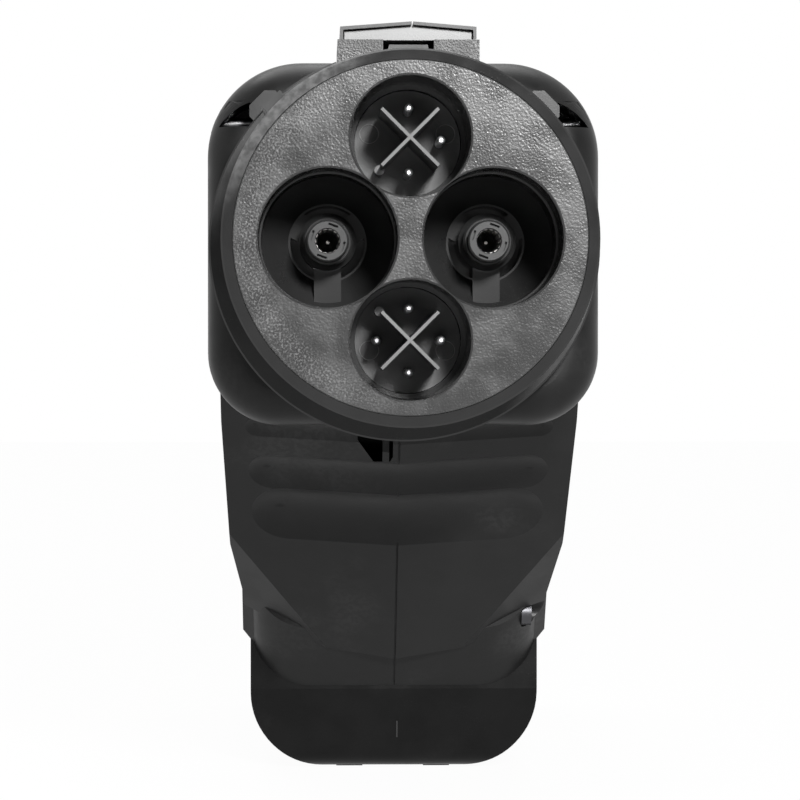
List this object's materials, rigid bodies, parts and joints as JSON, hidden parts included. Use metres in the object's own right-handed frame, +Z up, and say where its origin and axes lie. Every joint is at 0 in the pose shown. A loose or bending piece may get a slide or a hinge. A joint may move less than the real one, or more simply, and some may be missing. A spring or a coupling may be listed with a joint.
{
  "type": "electric vehicle charging adapter",
  "caption": "Black charging adapter with a round direct-current plug, latch and thumb release in front, an angled finger grip below and a combined inlet at the rear.",
  "frame": {"origin": "centre of the round plug's face", "axes": "+Y along the plug's axis from its face into the adapter, +Z up, +X to the right of someone facing the plug"},
  "size_m": [0.0784, 0.305, 0.1606],
  "materials": {
    "smooth_black": "smooth satin black",
    "grained_black": "leather-grained black",
    "housing_black": "fine satin black",
    "dark_insert": "matt dark",
    "inlet_black": "satin black",
    "hood_black": "smooth dark grey",
    "pale_plastic": "satin pale grey",
    "contact_tip": "matt dark grey",
    "button_grey": "satin grey",
    "board_green": "solder mask",
    "cell_wrap": "shrink wrap",
    "seal_rubber": "soft matt",
    "cover_rubber": "soft matt",
    "lens_clear": "clear tinted",
    "plated_pin": "bright plated",
    "contact_tube": "plated, dull",
    "screw_steel": "zinc plated",
    "copper": null
  },
  "bodies": {
    "adapter": {"plug_sleeve": "smooth_black", "latch_guard": "grained_black", "contact_block": "grained_black", "signal_insert_top": "dark_insert", "signal_insert_bottom": "dark_insert", "signal_pins_top": "plated_pin", "signal_pins_bottom": "plated_pin", "power_contact_left": "contact_tube", "power_contact_right": "contact_tube", "contact_tip_left": "contact_tip", "contact_tip_right": "contact_tip", "hood_left": "hood_black", "hood_right": "hood_black", "latch_pin": "screw_steel", "claw_spring": "screw_steel", "left_shell": "housing_black", "right_shell": "housing_black", "strap_bar_left": "screw_steel", "strap_bar_right": "screw_steel", "shell_screws": "screw_steel", "rear_housing": "housing_black", "base_strips": "seal_rubber", "inlet_body": "inlet_black", "inlet_seal": "seal_rubber", "inlet_screws": "screw_steel", "inlet_power_pins": "plated_pin", "inlet_signal_pins": "plated_pin", "inlet_earth_pin": "plated_pin", "status_lens": "lens_clear", "port_cover": "cover_rubber", "busbar_left": "copper", "busbar_right": "copper", "control_board": "board_green", "battery_cell": "cell_wrap"},
    "slider": {"release_slider": "pale_plastic"},
    "claw": {"latch_claw": "pale_plastic"},
    "button": {"power_button": "button_grey"}
  },
  "joints": [
    {"name": "release_slide", "type": "slide", "parent": "adapter", "child": "slider", "axis": [0, 1, 0], "range_m": [0, 0.006], "stiffness_N_per_m": 600, "springref_m": -0.001},
    {"name": "claw_pivot", "type": "hinge", "parent": "adapter", "child": "claw", "pos_m": [0, 0.044, 0.036], "axis": [1, 0, 0], "range_deg": [0, 6.6], "deforming": ["claw_spring"]},
    {"name": "power_press", "type": "slide", "parent": "adapter", "child": "button", "axis": [0, -1, 0], "range_m": [0, 0.001], "stiffness_N_per_m": 800, "springref_m": -0.0003}
  ],
  "couplings": [
    {"joint": "claw_pivot", "follows": "release_slide", "rad_per_m": 19}
  ]
}
